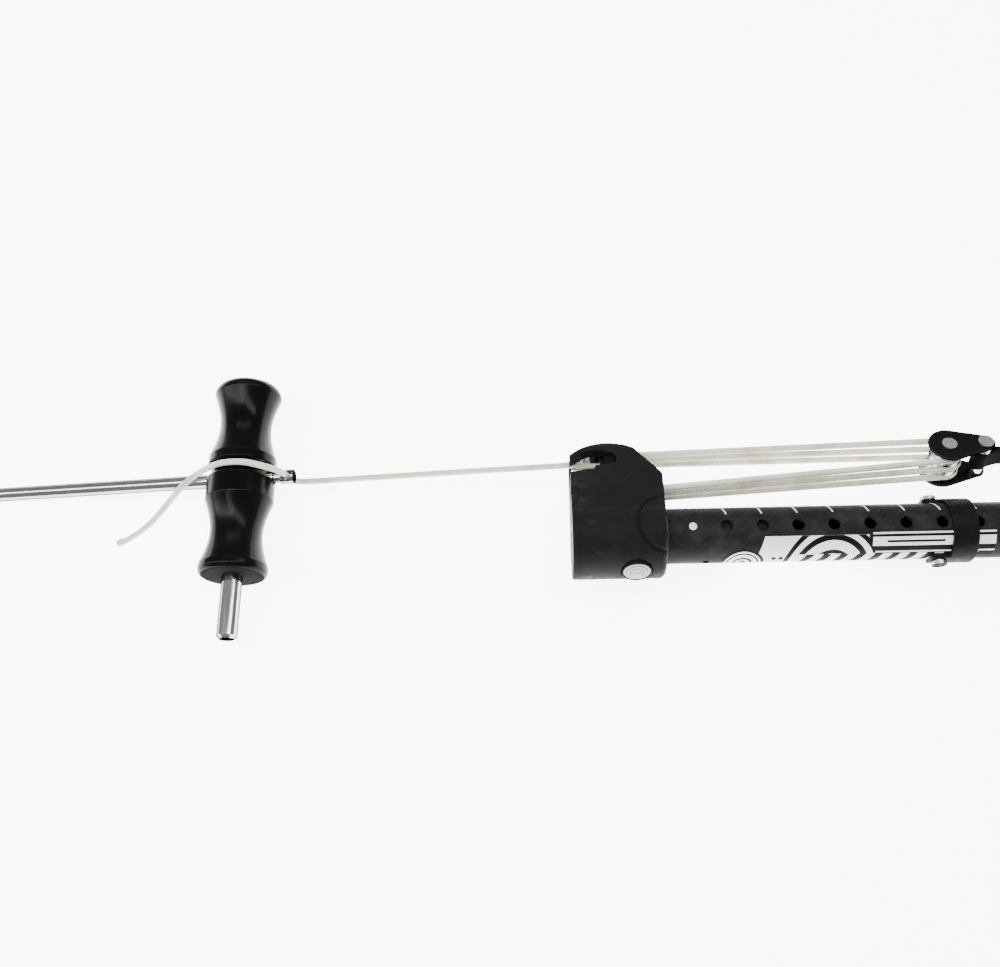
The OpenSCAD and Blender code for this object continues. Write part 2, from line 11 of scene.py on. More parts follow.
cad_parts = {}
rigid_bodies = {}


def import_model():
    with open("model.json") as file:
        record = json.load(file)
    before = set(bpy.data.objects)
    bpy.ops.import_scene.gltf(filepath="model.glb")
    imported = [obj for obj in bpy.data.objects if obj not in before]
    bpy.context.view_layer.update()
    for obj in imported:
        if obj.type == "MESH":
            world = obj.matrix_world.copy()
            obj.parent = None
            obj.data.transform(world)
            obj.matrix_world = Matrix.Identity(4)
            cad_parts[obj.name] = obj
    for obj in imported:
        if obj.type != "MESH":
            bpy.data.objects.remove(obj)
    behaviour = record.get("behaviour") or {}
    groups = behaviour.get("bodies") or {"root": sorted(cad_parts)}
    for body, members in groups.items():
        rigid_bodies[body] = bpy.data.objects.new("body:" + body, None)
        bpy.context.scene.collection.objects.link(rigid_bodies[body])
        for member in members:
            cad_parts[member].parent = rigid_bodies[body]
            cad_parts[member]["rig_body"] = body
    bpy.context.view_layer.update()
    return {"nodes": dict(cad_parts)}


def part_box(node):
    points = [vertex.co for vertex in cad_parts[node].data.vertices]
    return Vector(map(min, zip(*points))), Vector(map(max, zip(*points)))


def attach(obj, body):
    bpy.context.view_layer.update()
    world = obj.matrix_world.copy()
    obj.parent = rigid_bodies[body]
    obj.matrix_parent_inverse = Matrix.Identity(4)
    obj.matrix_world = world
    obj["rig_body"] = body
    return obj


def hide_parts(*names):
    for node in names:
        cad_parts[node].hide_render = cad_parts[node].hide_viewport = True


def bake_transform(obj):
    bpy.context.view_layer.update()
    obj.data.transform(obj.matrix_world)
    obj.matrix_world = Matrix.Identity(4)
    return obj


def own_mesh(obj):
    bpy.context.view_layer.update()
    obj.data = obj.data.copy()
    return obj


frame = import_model()
NODES = frame["nodes"]
MM = 0.001

# Driving sizes in metres, from the frame
TUBE_LOW, TUBE_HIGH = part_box("mast_tube")
TUBE_R = (TUBE_HIGH[1] - TUBE_LOW[1]) / 2
TABLE_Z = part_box("base_housing")[0][2]

# The line: its radius, its braid and the step along it that its mesh takes
LINE_R = 1.9 * MM
PLAITS = 8
PLAIT_LENGTH = 2.6 * MM
LINE_SIDES = 32
LINE_STEP = 0.5 * MM

# The release button: its place along the tube in mm, and its way out of the base, which is
# 74 degrees from +Z towards -Y
BUTTON_X = 36.0
BUTTON_OUT = Vector((0.0, -0.961262, 0.275637))

# The tube's height holes, in mm along it
FIRST_HOLE, HOLE_PITCH, HOLE_COUNT = 87.0, 20.0, 12

# The tack block's strap, in mm: half its width, its thickness, its length and its mesh's step,
# and the place in the block's frame of the pin that it goes round
STRAP_HALF, STRAP_T, STRAP_LEN, STRAP_STEP = 6.4, 1.7, 52.0, 0.6
HEAD_PIN_X = 21.0

# Specular level of matt plastic, of the tube's resin and of the handle, and the floor's glow
MATT_SHINE, CARBON_SHINE, HANDLE_SHINE = 0.04, 0.035, 0.055
FLOOR_GLOW = 7.5


# ---------------------------------------------------------------- camera

CAMERA_PLACE = Vector((-21.4, -207.9, 578.0)) * MM
CAMERA_TURNS = (("Y", 1.95), ("X", 22.83), ("Z", -0.54))
CAMERA_LENS = 38.08


def link_object(name, data):
    """A new object in the scene, for a mesh, a light or a camera."""
    made = bpy.data.objects.new(name, data)
    bpy.context.scene.collection.objects.link(made)
    return made


def make_camera():
    """The photograph's viewpoint."""
    data = bpy.data.cameras.new("camera")
    data.sensor_width = 36
    data.lens = CAMERA_LENS
    data.clip_start = 0.01
    camera = link_object("camera", data)
    turn = Matrix.Translation(CAMERA_PLACE)
    for axis, degrees in CAMERA_TURNS:
        turn = turn @ Matrix.Rotation(math.radians(degrees), 4, axis)
    camera.matrix_world = turn
    bpy.context.scene.camera = camera


make_camera()


# ---------------------------------------------------------------- small helpers


def mesh_object(name, vertices, faces, material=None, smooth=True):
    """A new object from points in metres and faces."""
    mesh = bpy.data.meshes.new(name)
    mesh.from_pydata([tuple(v) for v in vertices], [], faces)
    mesh.validate()
    piece = link_object(name, mesh)
    if material is not None:
        mesh.materials.append(material)
    if smooth:
        mesh.shade_smooth()
    else:
        mesh.shade_flat()
    return piece


def apply_modifiers(piece):
    """Leaves the piece with the mesh that its modifiers make."""
    graph = bpy.context.evaluated_depsgraph_get()
    mesh = bpy.data.meshes.new_from_object(piece.evaluated_get(graph))
    piece.modifiers.clear()
    piece.data = mesh


def copy_node(name, new_name, material):
    """A free copy of a CAD node's mesh, in the same place."""
    mesh = NODES[name].data.copy()
    piece = link_object(new_name, mesh)
    mesh.materials.clear()
    mesh.materials.append(material)
    work = bmesh.new()
    work.from_mesh(mesh)
    bmesh.ops.remove_doubles(work, verts=work.verts, dist=0.002 * MM)
    work.to_mesh(mesh)
    work.free()
    return piece


def soften(name, material, voxel, rounds):
    """A CAD node's copy with its hard edges rounded: remeshed finely, then smoothed."""
    piece = copy_node(name, name + "_look", material)
    remesh = piece.modifiers.new("remesh", "REMESH")
    remesh.mode = "VOXEL"
    remesh.voxel_size = voxel
    smooth = piece.modifiers.new("smooth", "CORRECTIVE_SMOOTH")
    smooth.iterations = rounds
    smooth.use_only_smooth = True
    apply_modifiers(piece)
    piece.data.shade_smooth()
    finish_piece(piece, NODES[name]["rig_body"], [name])


def finish_piece(piece, body, nodes=()):
    """The piece rides a body and stands for CAD nodes, which it hides."""
    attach(piece, body)
    if nodes:
        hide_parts(*nodes)


# ---------------------------------------------------------------- materials


class Shader:
    """A material's node tree, with the few nodes that these materials use."""

    def __init__(self, name, colour, roughness, metallic=0.0):
        self.material = bpy.data.materials.new(name)
        self.material.use_nodes = True
        self.tree = self.material.node_tree
        self.surface = self.tree.nodes["Principled BSDF"]
        self.set("Base Color", (*colour, 1))
        self.set("Roughness", roughness)
        self.set("Metallic", metallic)
        coordinates = self.node("ShaderNodeTexCoord")
        self.place = coordinates.outputs["Object"]
        self.uv = coordinates.outputs["UV"]
        self.height = None

    def node(self, kind, **settings):
        made = self.tree.nodes.new(kind)
        for key, value in settings.items():
            setattr(made, key, value)
        return made

    def set(self, socket, value):
        self.surface.inputs[socket].default_value = value

    def link(self, source, target):
        self.tree.links.new(source, target)

    def wire(self, socket, source):
        self.link(source, self.surface.inputs[socket])

    def math(self, operation, *values):
        """One step of arithmetic on numbers and sockets."""
        made = self.node("ShaderNodeMath", operation=operation)
        for i, value in enumerate(values):
            if isinstance(value, (int, float)):
                made.inputs[i].default_value = value
            else:
                self.link(value, made.inputs[i])
        return made.outputs[0]

    def split(self, vector):
        made = self.node("ShaderNodeSeparateXYZ")
        self.link(vector, made.inputs[0])
        return made.outputs

    def scaled(self, vector, scale):
        made = self.node("ShaderNodeMapping")
        made.inputs["Scale"].default_value = scale
        self.link(vector, made.inputs["Vector"])
        return made.outputs[0]

    def noise(self, scale, detail=3.0, stretch=(1, 1, 1)):
        """Noise over the piece, finer along an axis whose stretch is larger."""
        made = self.node("ShaderNodeTexNoise")
        made.inputs["Scale"].default_value = scale
        made.inputs["Detail"].default_value = detail
        self.link(self.scaled(self.place, stretch), made.inputs["Vector"])
        return made.outputs["Fac"]

    def ramp(self, factor, low, high, to_low=0.0, to_high=1.0):
        """A smooth step, from to_low where the factor is low to to_high where it is high."""
        made = self.node("ShaderNodeMapRange", interpolation_type="SMOOTHSTEP")
        made.inputs["From Min"].default_value = low
        made.inputs["From Max"].default_value = high
        made.inputs["To Min"].default_value = to_low
        made.inputs["To Max"].default_value = to_high
        self.link(factor, made.inputs["Value"])
        return made.outputs["Result"]

    def mix(self, factor, first, second):
        """Mixes two colours, each a tuple or a socket."""
        made = self.node("ShaderNodeMix", data_type="RGBA")
        self.link(factor, made.inputs["Factor"])
        for value, socket in ((first, made.inputs[6]), (second, made.inputs[7])):
            if isinstance(value, tuple):
                socket.default_value = (*value, 1)
            else:
                self.link(value, socket)
        return made.outputs[2]

    def between(self, value, low, high, edge=0.12):
        """One between low and high, falling to nothing over a short edge."""
        rise = self.ramp(value, low - edge, low + edge)
        return self.math("MULTIPLY", rise, self.ramp(value, high - edge, high + edge, 1, 0))

    def product(self, *factors):
        """The product of two or more sockets or numbers."""
        result = factors[0]
        for factor in factors[1:]:
            result = self.math("MULTIPLY", result, factor)
        return result

    def bump(self, height, distance, strength=1.0):
        """Adds a layer of relief; distance is its depth in metres."""
        made = self.node("ShaderNodeBump")
        made.inputs["Distance"].default_value = distance
        made.inputs["Strength"].default_value = strength
        self.link(height, made.inputs["Height"])
        if self.height is not None:
            self.link(self.height, made.inputs["Normal"])
        self.height = made.outputs["Normal"]
        self.wire("Normal", self.height)


def moulded_shader(name, colour, worn, roughness=0.5):
    """Spark-finished black moulding, scuffed and a little dusty: its shader and its colour."""
    shader = Shader(name, colour, roughness)
    dust = shader.ramp(shader.noise(38, 5), 0.5, 0.78, 0, 0.6)
    scuffs = shader.ramp(shader.noise(110, 6), 0.6, 0.75, 0, 0.4)
    base = shader.mix(dust, colour, worn)
    base = shader.mix(scuffs, base, tuple(c * 1.5 for c in worn))
    wear = shader.noise(150, 4)
    shader.wire("Roughness", shader.ramp(wear, 0.3, 0.7, roughness - 0.06, roughness + 0.12))
    shader.bump(shader.noise(5200, 2), 0.03 * MM, 0.5)
    shader.bump(shader.noise(90, 3), 0.1 * MM, 0.3)
    shader.set("Specular IOR Level", MATT_SHINE)
    return shader, base


def moulded_plastic(name, colour, worn, roughness=0.5):
    """The moulding as a finished material, with nothing on top."""
    shader, base = moulded_shader(name, colour, worn, roughness)
    shader.wire("Base Color", base)
    return shader.material


def housing_plastic():
    """The base's moulding, with dried green-brown dirt near its socket end."""
    shader, clean = moulded_shader(
        "housing_plastic", (0.0074, 0.0074, 0.0075), (0.014, 0.0137, 0.0128)
    )
    x, y, _ = shader.split(shader.place)
    near_end = shader.ramp(x, 4 * MM, 12 * MM, 1, 0)
    band = shader.product(
        shader.ramp(y, 6 * MM, 14 * MM), shader.ramp(y, 30 * MM, 36 * MM, 1, 0)
    )
    patches = shader.ramp(shader.noise(170, 6), 0.46, 0.62, 0, 0.85)
    dirt = shader.product(near_end, band, patches)
    shader.wire("Base Color", shader.mix(dirt, clean, (0.019, 0.019, 0.012)))
    return shader.material


def turned_plastic():
    """Black handle plastic, turned and polished: fine rings round its axis and faint smears."""
    shader = Shader("turned_plastic", (0.0022, 0.0022, 0.0024), 0.2)
    rings = shader.noise(900, 2, (0.02, 1, 0.02))
    smears = shader.noise(60, 4, (1, 0.5, 1))
    polished, smeared = (0.0016, 0.0016, 0.0018), (0.0034, 0.0034, 0.0036)
    shader.wire("Base Color", shader.mix(smears, polished, smeared))
    # The flat foot is left as it was sawn, so it is rough
    foot = shader.ramp(shader.split(shader.place)[1], -17.9 * MM, -17.3 * MM, 0.7, 0)
    shader.wire("Roughness", shader.math("ADD", shader.ramp(smears, 0.3, 0.75, 0.17, 0.25), foot))
    shader.bump(rings, 0.01 * MM, 0.5)
    shader.set("Specular IOR Level", HANDLE_SHINE)
    return shader.material


def steel(name, tint, roughness, stretch):
    """Steel with drawn or turned lines, with painted shade that darkens it where it turns from the
    eye.
    """
    shader = Shader(name, tint, roughness, 1.0)
    lines = shader.noise(1600, 3, stretch)
    clouds = shader.noise(45, 4)
    base = shader.mix(clouds, tint, tuple(c * 0.86 for c in tint))
    # Painted shade: the tint darkens to near-black where the surface turns from the eye, standing
    # in for dark reflections at the edges.
    turning = shader.node("ShaderNodeLayerWeight")
    turning.inputs["Blend"].default_value = 0.5
    painted_edge_shade = shader.ramp(turning.outputs["Facing"], 0.35, 0.85)
    shader.wire("Base Color", shader.mix(painted_edge_shade, base, tuple(c * 0.06 for c in tint)))
    shader.wire("Roughness", shader.ramp(lines, 0.25, 0.75, roughness * 0.7, roughness * 1.35))
    shader.bump(lines, 0.004 * MM, 0.6)
    shader.set("Specular Tint", (0.12, 0.12, 0.12, 1))
    return shader.material


def cast_aluminium():
    """Blasted aluminium of the cleat's jaws; its inner slope is painted black as shade."""
    shader = Shader("cleat_aluminium", (0.9, 0.9, 0.9), 0.5, 0.55)
    grain = shader.noise(1400, 4)
    stains = shader.ramp(shader.noise(260, 5), 0.55, 0.78)
    # Painted shade: past x = 12.6 to 13.6 mm the inner slope turns near-black, as if in shadow.
    painted_shade_from, painted_shade_to = 12.6 * MM, 13.6 * MM
    inner = shader.ramp(shader.split(shader.place)[0], painted_shade_from, painted_shade_to)
    jaws = shader.mix(stains, (0.95, 0.95, 0.95), (0.55, 0.55, 0.54))
    shader.wire("Base Color", shader.mix(inner, jaws, (0.012, 0.012, 0.012)))
    shader.wire("Roughness", shader.ramp(grain, 0.3, 0.7, 0.4, 0.6))
    shader.bump(grain, 0.02 * MM, 0.5)
    return shader.material


# The tube's inks
INK_WHITE, INK_BLACK = (0.74, 0.75, 0.77), (0.005, 0.005, 0.0055)


def fibre_lines(shader, count):
    """Light and dark along one way of the weave, from a count of its tows."""
    return shader.math("ABSOLUTE", shader.math("SINE", shader.math("MULTIPLY", count, math.pi)))


def carbon_weave(shader, x, around):
    """Twill tows, two over and two under, with clouds of resin over them."""
    tow = 1.1
    along_count = shader.math("DIVIDE", x, tow)
    around_count = shader.math("DIVIDE", around, tow)
    columns, rows = shader.math("FLOOR", along_count), shader.math("FLOOR", around_count)
    diagonal = shader.math("FLOORED_MODULO", shader.math("ADD", columns, rows), 4.0)
    warp = shader.math("LESS_THAN", diagonal, 2.0)
    weft = shader.math("SUBTRACT", 1.0, warp)
    tows = shader.math(
        "ADD",
        shader.product(warp, fibre_lines(shader, around_count)),
        shader.product(weft, fibre_lines(shader, along_count)),
    )
    clouds = shader.noise(120, 5)
    tone = shader.mix(warp, (0.0108, 0.0108, 0.0105), (0.0132, 0.0132, 0.0128))
    tone = shader.mix(shader.ramp(tows, 0.0, 0.5), (0.0062, 0.0062, 0.006), tone)
    tone = shader.mix(shader.ramp(clouds, 0.4, 0.72, 0, 0.6), tone, (0.025, 0.0246, 0.0226))
    return tone, tows, clouds


def ring_mask(shader, x, around, centre, inner, outer):
    """A printed ring between two radii, or a disc where inner is below zero."""
    across = shader.math("POWER", shader.math("SUBTRACT", x, centre[0]), 2.0)
    down = shader.math("POWER", shader.math("SUBTRACT", around, centre[1]), 2.0)
    distance = shader.math("SQRT", shader.math("ADD", across, down))
    return shader.between(distance, inner, outer)


def box_mask(shader, x, around, along, down, lean=0.0):
    """A printed bar between two places each way, leaning by a share of its height."""
    start = shader.math("SUBTRACT", x, shader.math("MULTIPLY", around, lean))
    return shader.product(shader.between(start, *along), shader.between(around, *down))


def height_ticks(shader, x, around):
    """A slanting light tick above each height hole."""
    lean, offset, half_width = 0.2, 2.1, 0.42
    place = shader.math("SUBTRACT", x, shader.math("MULTIPLY", around, lean))
    middle = HOLE_PITCH / 2
    step = shader.math("ADD", place, middle - FIRST_HOLE - offset)
    step = shader.math("FLOORED_MODULO", step, HOLE_PITCH)
    tick = shader.between(step, middle - half_width, middle + half_width)
    reach = shader.between(around, -23.0, -8.1)
    last = FIRST_HOLE + HOLE_PITCH * (HOLE_COUNT - 0.5)
    return shader.product(tick, reach, shader.between(x, FIRST_HOLE - 8, last))


def printed_panel(shader, x, around, tone):
    """A plain panel along the tube: a white field, rings, bars and a slanting stripe pattern."""
    emblem, badge = (146.3, 26.8), (96.6, 26.2)
    end, top, foot = 236.0, 6.7, 60.0
    below_top = shader.between(around, top, foot)

    def rim(inner, outer):
        return shader.product(below_top, ring_mask(shader, x, around, emblem, inner, outer))

    def ring(inner, outer):
        return ring_mask(shader, x, around, badge, inner, outer)

    def bar(along, down, lean=0.0):
        return box_mask(shader, x, around, along, down, lean)

    layers = (
        (bar((110.0, 168.0), (top, foot), -0.3), INK_WHITE),
        (rim(-1.0, 26.8), INK_BLACK),
        (rim(20.8, 24.0), INK_WHITE),
        (rim(-1.0, 17.3), INK_WHITE),
        (rim(8.4, 11.4), INK_BLACK),
        (rim(-1.0, 4.4), INK_BLACK),
        (bar((170.0, end), (5.6, foot)), INK_BLACK),
        (bar((168.0, end), (5.6, 6.6)), INK_WHITE),
        (bar((168.0, end), (8.2, 13.6)), INK_WHITE),
        (bar((176.0, 208.0), (10.2, 11.6)), INK_BLACK),
        (bar((170.0, end), (17.2, 18.2)), INK_WHITE),
        (ring(-1.0, 12.2), INK_BLACK),
        (ring(9.3, 10.4), INK_WHITE),
        (ring(-1.0, 8.2), INK_WHITE),
        (ring(4.0, 5.6), INK_BLACK),
        (ring(-1.0, 2.0), INK_BLACK),
        (bar((112.6, 115.0), (20.6, 23.6)), INK_BLACK),
        (bar((116.6, 119.0), (20.6, 23.6)), INK_BLACK),
    )
    for mask, ink in layers:
        tone = shader.mix(mask, tone, ink)
    lean, pitch = 0.45, 9.6
    slanted = shader.math("ADD", x, shader.math("MULTIPLY", around, lean))
    slanted = shader.math("FLOORED_MODULO", slanted, pitch)
    field = box_mask(shader, x, around, (136.0, end), (18.8, 34.0), -lean)
    for low, high, ink in ((-1.0, 11.0, INK_BLACK), (1.0, 6.0, INK_WHITE)):
        stripe = shader.product(field, shader.between(slanted, low, high))
        tone = shader.mix(stripe, tone, ink)
    return tone


def carbon_laminate():
    """Twill carbon under clear resin, with its printed ticks and panel."""
    shader = Shader("carbon_laminate", (0.01, 0.01, 0.011), 0.36)
    x, y, z = shader.split(shader.place)
    x = shader.math("DIVIDE", x, MM)
    turn = shader.math("ARCTAN2", shader.math("MULTIPLY", y, -1.0), z)
    around = shader.math("MULTIPLY", turn, TUBE_R / MM)
    tone, tows, clouds = carbon_weave(shader, x, around)
    tone = shader.mix(height_ticks(shader, x, around), tone, INK_WHITE)
    shader.wire("Base Color", printed_panel(shader, x, around, tone))
    shader.wire("Roughness", shader.ramp(clouds, 0.3, 0.7, 0.44, 0.58))
    shader.bump(tows, 0.006 * MM, 0.25)
    shader.set("Specular IOR Level", CARBON_SHINE)
    return shader.material


def badge_face():
    """The button's domed badge: grey rings and a plain barred disc on light plastic."""
    light, dark = (0.3, 0.305, 0.315), (0.13, 0.133, 0.138)
    rim_ink, bar_ink = (0.07, 0.072, 0.075), (0.1, 0.102, 0.106)
    shader = Shader("badge_face", light, 0.32)
    x, y, z = shader.split(shader.place)
    x = shader.math("SUBTRACT", shader.math("DIVIDE", x, MM), BUTTON_X)
    rise = shader.math(
        "ADD",
        shader.math("MULTIPLY", y, BUTTON_OUT[2] / MM),
        shader.math("MULTIPLY", z, -BUTTON_OUT[1] / MM),
    )
    tone = light
    for inner, outer, ink in ((5.6, 6.4, rim_ink), (-1.0, 4.6, dark), (-1.0, 3.3, light)):
        tone = shader.mix(ring_mask(shader, x, rise, (0, 0), inner, outer), tone, ink)
    bar = box_mask(shader, x, rise, (-4.2, 4.2), (-0.6, 0.6))
    tone = shader.mix(bar, tone, bar_ink)
    wear = shader.ramp(shader.noise(700, 4), 0.6, 0.72, 0, 0.5)
    shader.wire("Base Color", shader.mix(wear, tone, (0.4, 0.4, 0.4)))
    shader.wire("Roughness", shader.ramp(shader.noise(300, 3), 0.3, 0.7, 0.26, 0.44))
    shader.bump(shader.noise(1500, 2), 0.008 * MM, 0.4)
    return shader.material


def plain_plastic(name, colour, roughness=0.42):
    """Plastic or thread of one colour, with a fine grain and cloudy shine."""
    shader = Shader(name, colour, roughness)
    grain = shader.noise(2600, 3)
    clouds = shader.noise(80, 4)
    darker = tuple(c * 0.78 for c in colour)
    shader.wire("Base Color", shader.mix(clouds, colour, darker))
    shader.wire("Roughness", shader.ramp(clouds, 0.3, 0.7, roughness - 0.08, roughness + 0.1))
    shader.bump(grain, 0.01 * MM, 0.5)
    return shader.material


def braided_line():
    """Cream braided line: the plaits are in the mesh, and the fibres, soil and painted shade
    between the plaits are here.
    """
    shader = Shader("braided_line", (0.7, 0.68, 0.58), 0.72)
    u, v, _ = shader.split(shader.uv)
    left = shader.math("ADD", shader.math("MULTIPLY", u, PLAITS), v)
    right = shader.math("SUBTRACT", shader.math("MULTIPLY", u, PLAITS), v)
    weave = shader.math(
        "MULTIPLY",
        shader.math("SINE", shader.math("MULTIPLY", left, math.pi)),
        shader.math("SINE", shader.math("MULTIPLY", right, math.pi)),
    )
    # Painted shade: the lines between the plaits are darkened to a deep brown, as if in shadow.
    painted_crevice_shade = shader.ramp(shader.math("ABSOLUTE", weave), 0.0, 0.3)
    soil = shader.ramp(shader.noise(60, 5), 0.42, 0.75)
    fibres = shader.noise(2600, 3)
    clean = shader.mix(fibres, (0.86, 0.84, 0.71), (0.7, 0.67, 0.53))
    soiled = shader.mix(soil, clean, (0.52, 0.49, 0.38))
    shader.wire("Base Color", shader.mix(painted_crevice_shade, (0.33, 0.31, 0.24), soiled))
    shader.bump(fibres, 0.05 * MM, 0.5)
    shader.set("Sheen Weight", 0.25)
    shader.set("Sheen Roughness", 0.5)
    return shader.material


def webbing():
    """Black nylon webbing: ribs across its width, with yarns between them and a little lint."""
    rib_pitch, yarn_pitch = 1.5, 0.9
    shader = Shader("webbing", (0.006, 0.006, 0.007), 0.85)
    u, v, _ = shader.split(shader.uv)
    ribs = shader.math("SINE", shader.math("MULTIPLY", v, 2 * math.pi / rib_pitch))
    yarns = shader.math("SINE", shader.math("MULTIPLY", u, 2 * math.pi / yarn_pitch))
    weave = shader.math("MULTIPLY", ribs, yarns)
    lint = shader.ramp(shader.noise(500, 4), 0.55, 0.75, 0, 0.4)
    base = shader.mix(shader.ramp(weave, -0.6, 0.6), (0.003, 0.003, 0.0035), (0.009, 0.009, 0.01))
    shader.wire("Base Color", shader.mix(lint, base, (0.02, 0.02, 0.02)))
    shader.bump(weave, 0.12 * MM, 0.7)
    shader.set("Specular IOR Level", MATT_SHINE)
    return shader.material


def floor_paper():
    """White studio paper, lit through from below."""
    paper, lighter = (0.93, 0.93, 0.93), (0.945, 0.945, 0.945)
    shader = Shader("floor_paper", paper, 0.8)
    shader.wire("Base Color", shader.mix(shader.noise(3), paper, lighter))
    shader.set("Emission Color", (1, 1, 1, 1))
    shader.set("Emission Strength", FLOOR_GLOW)
    return shader.material


HOUSING = housing_plastic()
BUTTON = moulded_plastic("button_plastic", (0.0045, 0.0045, 0.0048), (0.009, 0.009, 0.009), 0.42)
HANDLE = turned_plastic()
ROD_STEEL = steel("rod_steel", (0.4, 0.388, 0.375), 0.15, (0.02, 1, 1))
PIN_STEEL = steel("pin_steel", (0.42, 0.408, 0.395), 0.14, (1, 0.02, 1))
PLAIN_STEEL = steel("plain_steel", (0.5, 0.5, 0.49), 0.3, (1, 1, 0.2))
POLISHED_ALLOY = steel("polished_alloy", (0.66, 0.67, 0.68), 0.22, (1, 1, 0.2))
CHEEK_ALLOY = steel("black_alloy", (0.02, 0.02, 0.022), 0.38, (1, 1, 1))
CLEAT_ALLOY = cast_aluminium()
CARBON = carbon_laminate()
NYLON = moulded_plastic("sheave_nylon", (0.003, 0.003, 0.0032), (0.006, 0.006, 0.006), 0.45)
# Painted shade: the spigot is seen only down the tube's holes. Its dark grey plastic is darkened
# further to near-black to stand for the shade under the holes' rims.
SPIGOT_GREY_AND_SHADE = moulded_plastic(
    "spigot_grey", (0.0042, 0.0042, 0.0041), (0.011, 0.011, 0.0105), 0.4
)
RING_GREY = plain_plastic("ring_grey", (0.09, 0.09, 0.092), 0.5)
RIVET_WHITE = plain_plastic("rivet_white", (0.8, 0.8, 0.79), 0.38)
COLLAR_BLACK = moulded_plastic(
    "collar_plastic", (0.004, 0.004, 0.0042), (0.008, 0.008, 0.008), 0.44
)
BADGE = badge_face()
LINE = braided_line()
WEBBING = webbing()
THREAD = plain_plastic("strap_thread", (0.1, 0.1, 0.1), 0.7)


# ---------------------------------------------------------------- the line


def run_along(path):
    """How far along the path each of its points is."""
    return np.concatenate([[0], np.cumsum(np.linalg.norm(np.diff(path, axis=0), axis=1))])


def smooth_path(points, step):
    """A Catmull-Rom curve through the points, cut into equal steps."""
    p = np.array(points, float)
    p = np.vstack([2 * p[0] - p[1], p, 2 * p[-1] - p[-2]])
    fine = []
    for i in range(1, len(p) - 2):
        t = np.linspace(0, 1, 40, endpoint=False)[:, None]
        a, b, c, d = p[i - 1], p[i], p[i + 1], p[i + 2]
        square, cube = 2 * a - 5 * b + 4 * c - d, 3 * b - a - 3 * c + d
        fine.append(0.5 * (2 * b + (c - a) * t + square * t**2 + cube * t**3))
    fine = np.vstack([*fine, p[-2][None]])
    run = run_along(fine)
    count = max(2, int(round(run[-1] / step)) + 1)
    wanted = np.linspace(0, run[-1], count)
    return np.stack([np.interp(wanted, run, fine[:, k]) for k in range(3)], axis=1)


def straight_path(start, end, step):
    """A straight run from start to end, cut into equal steps."""
    start, end = np.array(start, float), np.array(end, float)
    count = max(2, int(round(np.linalg.norm(end - start) / step)) + 1)
    return start + (end - start) * np.linspace(0, 1, count)[:, None]


def ring_faces(first, second, sides):
    """The four-sided faces between two rings of points, given the first point of each."""
    return [
        (first + k, first + (k + 1) % sides, second + (k + 1) % sides, second + k)
        for k in range(sides)
    ]


def sweep(name, path, radius, material):
    """A closed tube along a path; radius is an array of one ring of values per point."""
    sides = radius.shape[1]
    heading = np.gradient(path, axis=0)
    heading /= np.linalg.norm(heading, axis=1)[:, None]
    side = np.zeros_like(path)
    side[0] = np.cross(heading[0], (0, 0.1, 1) if abs(heading[0][2]) < 0.9 else (0, 1, 0))
    side[0] /= np.linalg.norm(side[0])
    for i in range(1, len(path)):
        side[i] = side[i - 1] - heading[i] * (side[i - 1] @ heading[i])
        side[i] /= np.linalg.norm(side[i])
    other = np.cross(heading, side)
    a = 2 * math.pi * np.arange(sides) / sides
    rings = (
        path[:, None, :]
        + radius[:, :, None] * np.cos(a)[None, :, None] * side[:, None, :]
        + radius[:, :, None] * np.sin(a)[None, :, None] * other[:, None, :]
    )
    faces = []
    for i in range(len(path) - 1):
        faces += ring_faces(i * sides, (i + 1) * sides, sides)
    last = (len(path) - 1) * sides
    faces.append(tuple(range(sides - 1, -1, -1)))
    faces.append(tuple(range(last, last + sides)))
    return mesh_object(name, rings.reshape(-1, 3), faces, material)


def line_tube(name, path, end_round=False, start_at=0.0):
    """The braided line along a path: two families of plaits stand out of a round tube."""
    sides = LINE_SIDES
    run = start_at + run_along(path)
    u = np.arange(sides) / sides
    v = run / PLAIT_LENGTH
    sine_left = np.sin(math.pi * (PLAITS * u[None, :] + v[:, None]))
    sine_right = np.sin(math.pi * (PLAITS * u[None, :] - v[:, None]))
    over = 0.5 + 0.5 * np.clip(3 * sine_left * sine_right, -1, 1)
    relief = over * np.abs(sine_left) ** 0.6 + (1 - over) * np.abs(sine_right) ** 0.6
    plait_depth = 0.08
    radius = LINE_R * (1 - plait_depth + plait_depth * relief)
    if end_round:
        # A melted end: a bulb with a round cap, lifted so that it lies on the table
        left_over = run[-1] - run
        cap = np.clip(left_over / (1.1 * LINE_R), 0.02, 1)
        swell = 1 + 0.3 * np.exp(-(((left_over - 1.6 * LINE_R) / LINE_R) ** 2))
        radius = radius * (np.sqrt(1 - (1 - cap) ** 2) * swell)[:, None]
        lift = np.maximum(radius.max(axis=1) - LINE_R, 0)
        path = path + lift[:, None] * np.array((0, 0, 1))
    piece = sweep(name, path, radius, LINE)
    layer = piece.data.uv_layers.new(name="line")
    for face in piece.data.polygons:
        seam = face.index % sides == sides - 1
        for corner in face.loop_indices:
            ring, k = divmod(piece.data.loops[corner].vertex_index, sides)
            turn = 1.0 if seam and k == 0 else k / sides
            layer.data[corner].uv = (turn, v[ring])
    return piece


